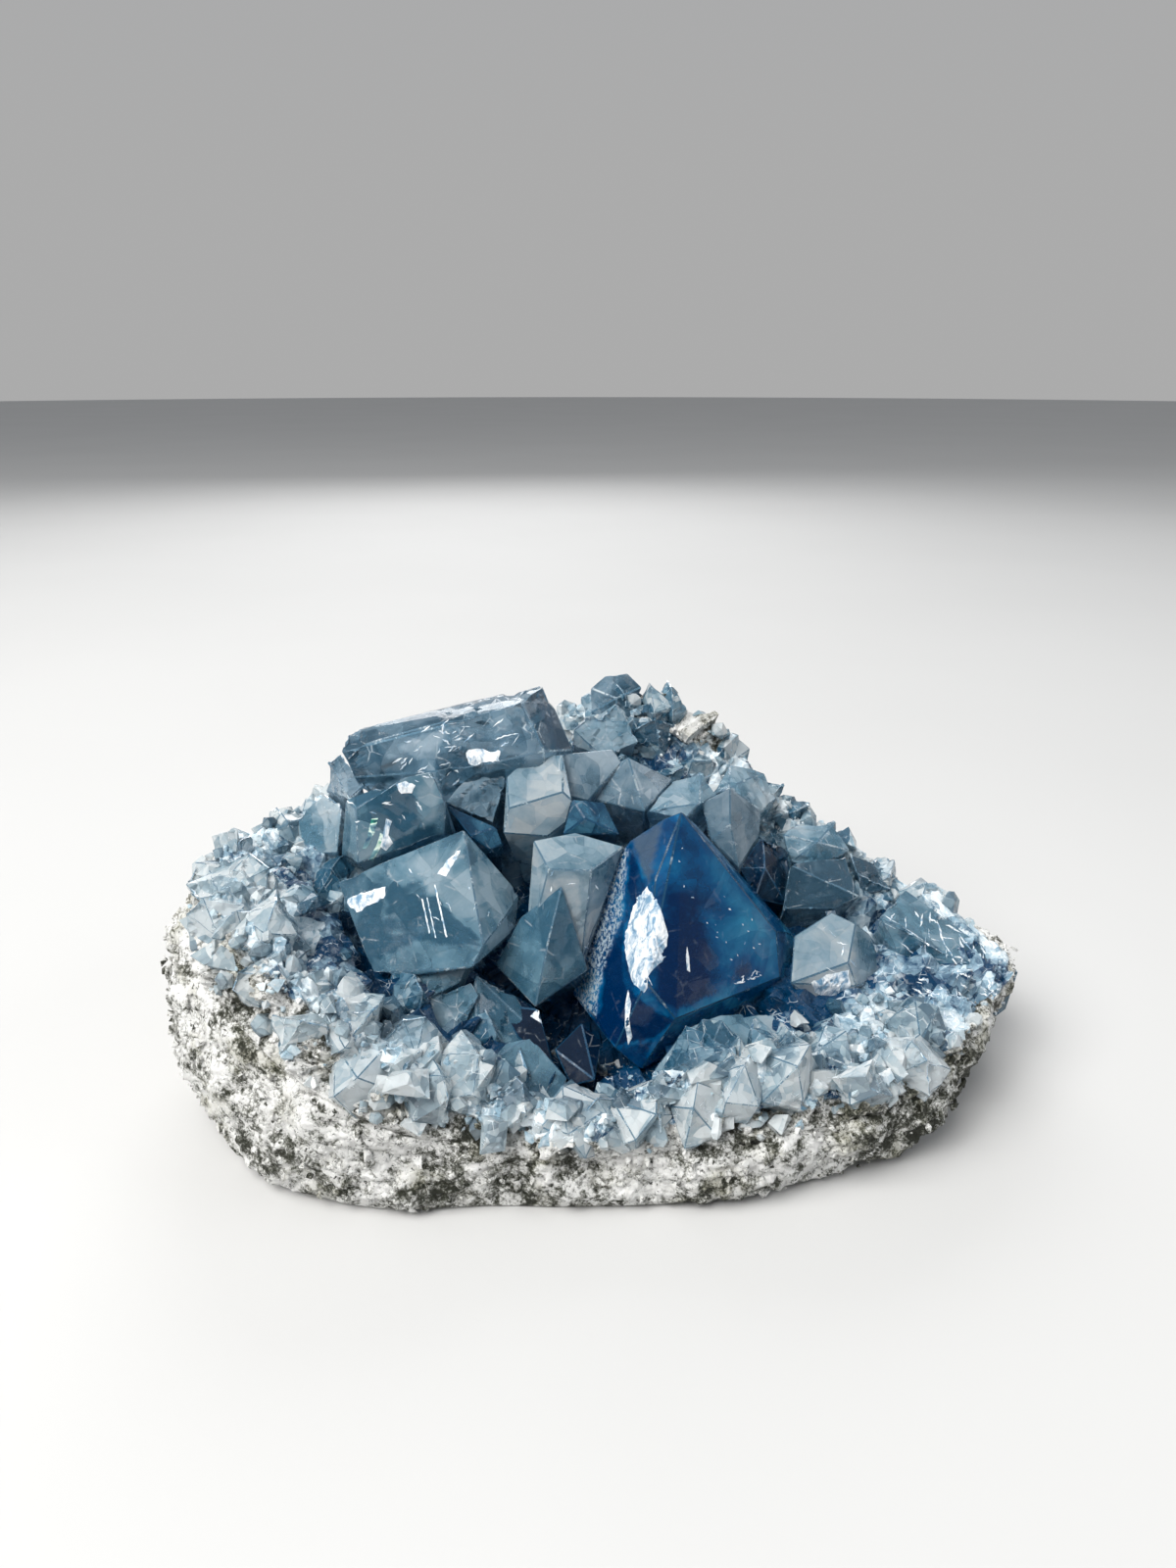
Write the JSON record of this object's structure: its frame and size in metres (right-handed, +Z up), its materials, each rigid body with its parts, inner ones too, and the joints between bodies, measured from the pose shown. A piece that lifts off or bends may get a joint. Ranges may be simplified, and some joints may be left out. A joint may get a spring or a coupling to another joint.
{
  "type": "celestite cluster",
  "caption": "Cluster of chunky blue crystals with flat faces, grown in the hollow of a shallow bowl of granular rock that rests on its flat foot.",
  "frame": {"origin": "on the surface the cluster rests on, under the middle of its box", "axes": "+X towards the cluster's right-hand end, +Y towards its back, +Z up; the hollow with the crystals faces -Y and up"},
  "size_m": [0.138, 0.0822, 0.0615],
  "materials": {
    "granular_matrix": "rough grey-white granular rock",
    "celestite": "clear to cloudy blue crystal with glossy faces"
  },
  "bodies": {
    "root": {"matrix": "granular_matrix", "crystals": "celestite"}
  },
  "joints": []
}
